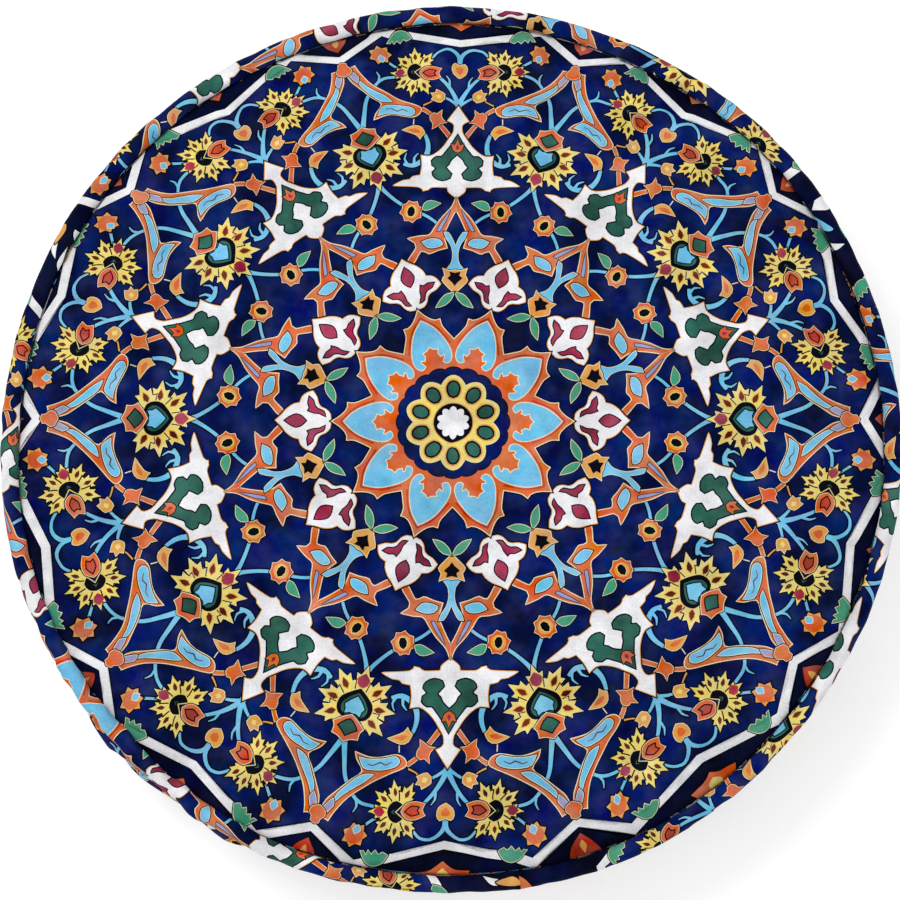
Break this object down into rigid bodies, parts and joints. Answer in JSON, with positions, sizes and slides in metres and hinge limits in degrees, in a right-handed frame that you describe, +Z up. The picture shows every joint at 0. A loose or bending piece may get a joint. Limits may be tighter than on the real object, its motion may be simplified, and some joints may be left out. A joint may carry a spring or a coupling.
{
  "type": "floor cushion",
  "caption": "Round boxed floor cushion with piped edges, a tile-style medallion print and a zipped cover at the back, over a cased fibre pad.",
  "frame": {"origin": "on the floor, at the middle of the base", "axes": "+Z up through the middle of the seat, +Y to the back where the zip is, -Y to the front"},
  "size_m": [0.6, 0.6, 0.145],
  "materials": {
    "printed_cotton": "woven cotton, printed with a ten-fold tile-style medallion",
    "piping_cord": "twisted cotton cord",
    "calico": "unbleached plain-weave cotton",
    "polyester_fibre": "loose carded fibre",
    "zip_tape": "woven polyester tape",
    "zip_coil": "nylon coil",
    "zip_metal": "nickel-plated"
  },
  "bodies": {
    "cushion": {"top_panel": "printed_cotton", "bottom_panel": "printed_cotton", "boxing_band": "printed_cotton", "zip_gusset_upper": "printed_cotton", "zip_gusset_lower": "printed_cotton", "top_piping_casing": "printed_cotton", "bottom_piping_casing": "printed_cotton", "top_piping_cord": "piping_cord", "bottom_piping_cord": "piping_cord", "inner_case_top": "calico", "inner_case_side": "calico", "inner_case_base": "calico", "fibre_filling": "polyester_fibre", "zip_tape_upper": "zip_tape", "zip_tape_lower": "zip_tape", "zip_coil_upper": "zip_coil", "zip_coil_lower": "zip_coil", "zip_top_stop_upper": "zip_metal", "zip_top_stop_lower": "zip_metal", "zip_bottom_stop": "zip_metal"},
    "slider": {"zip_slider": "zip_metal"},
    "pull_tab": {"zip_pull_tab": "zip_metal"}
  },
  "joints": [
    {"name": "zip_travel", "type": "hinge", "parent": "cushion", "child": "slider", "pos_m": [0, 0, 0.064], "axis": [0, 0, -1], "range_deg": [0, 113.6]},
    {"name": "pull_tab_swing", "type": "hinge", "parent": "slider", "child": "pull_tab", "pos_m": [-0.25083, 0.16165, 0.064], "axis": [0, 0, 1], "range_deg": [0, 160]}
  ]
}
